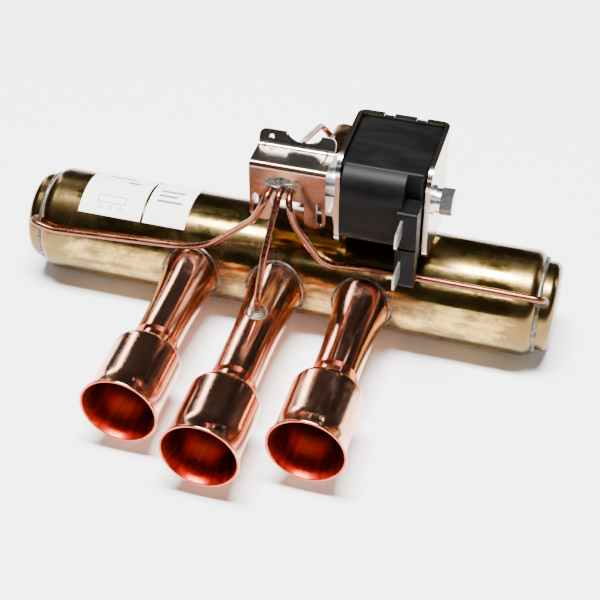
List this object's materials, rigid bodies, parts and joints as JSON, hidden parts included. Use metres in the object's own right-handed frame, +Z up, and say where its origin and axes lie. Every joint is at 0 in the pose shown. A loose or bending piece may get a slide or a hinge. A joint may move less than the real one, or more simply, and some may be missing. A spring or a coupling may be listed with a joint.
{
  "type": "four way reversing valve",
  "caption": "Brass four way reversing valve with flared copper sockets, pilot valve, capillary tubes and solenoid coil.",
  "frame": {"origin": "middle of the bottom of the whole valve's box, under the main tube", "axes": "+X along the main tube towards the coil, +Y towards the discharge stub, +Z up through the pilot valve"},
  "size_m": [0.1948, 0.183, 0.0775],
  "materials": {
    "brass": "satin, tarnished",
    "copper": "polished copper",
    "plated_steel": "bright plated",
    "zinc_steel": "zinc plated",
    "solder": "dull grey",
    "moulding": "satin black",
    "nylon": "matte",
    "seal": "matte",
    "core_steel": "turned",
    "label": "matte white"
  },
  "bodies": {
    "valve": {"body_tube": "brass", "braze_beads": "solder", "capillary_discharge": "copper", "capillary_left": "copper", "capillary_middle": "copper", "capillary_right": "copper", "capillary_solder": "solder", "coil_moulding": "moulding", "coil_screw": "zinc_steel", "coil_winding": "copper", "coil_yoke": "plated_steel", "discharge_stub": "copper", "end_cap_left": "brass", "end_cap_right": "brass", "end_solder": "solder", "fixed_core": "core_steel", "flat_washer": "zinc_steel", "label": "label", "pilot_body": "brass", "pilot_bracket": "plated_steel", "pilot_seat": "brass", "pilot_solder": "solder", "pilot_spring": "core_steel", "pilot_tube": "core_steel", "socket_left": "copper", "socket_middle": "copper", "socket_right": "copper", "spring_washer": "zinc_steel", "stub_left": "copper", "stub_middle": "copper", "stub_right": "copper", "terminal_lower": "zinc_steel", "terminal_upper": "zinc_steel", "valve_seat": "brass"},
    "shuttle": {"slide_block": "nylon", "piston_link": "plated_steel", "piston_left": "core_steel", "piston_right": "core_steel", "seal_left": "seal", "seal_right": "seal", "piston_rivets": "core_steel"},
    "plunger": {"plunger": "core_steel", "pilot_slide": "nylon"}
  },
  "joints": [
    {"name": "main_slide", "type": "slide", "parent": "valve", "child": "shuttle", "axis": [1, 0, 0], "range_m": [0, 0.0316]},
    {"name": "pilot_stroke", "type": "slide", "parent": "valve", "child": "plunger", "axis": [1, 0, 0], "range_m": [0, 0.0036], "stiffness_N_per_m": 300, "springref_m": -0.004, "deforming": ["pilot_spring"]}
  ]
}
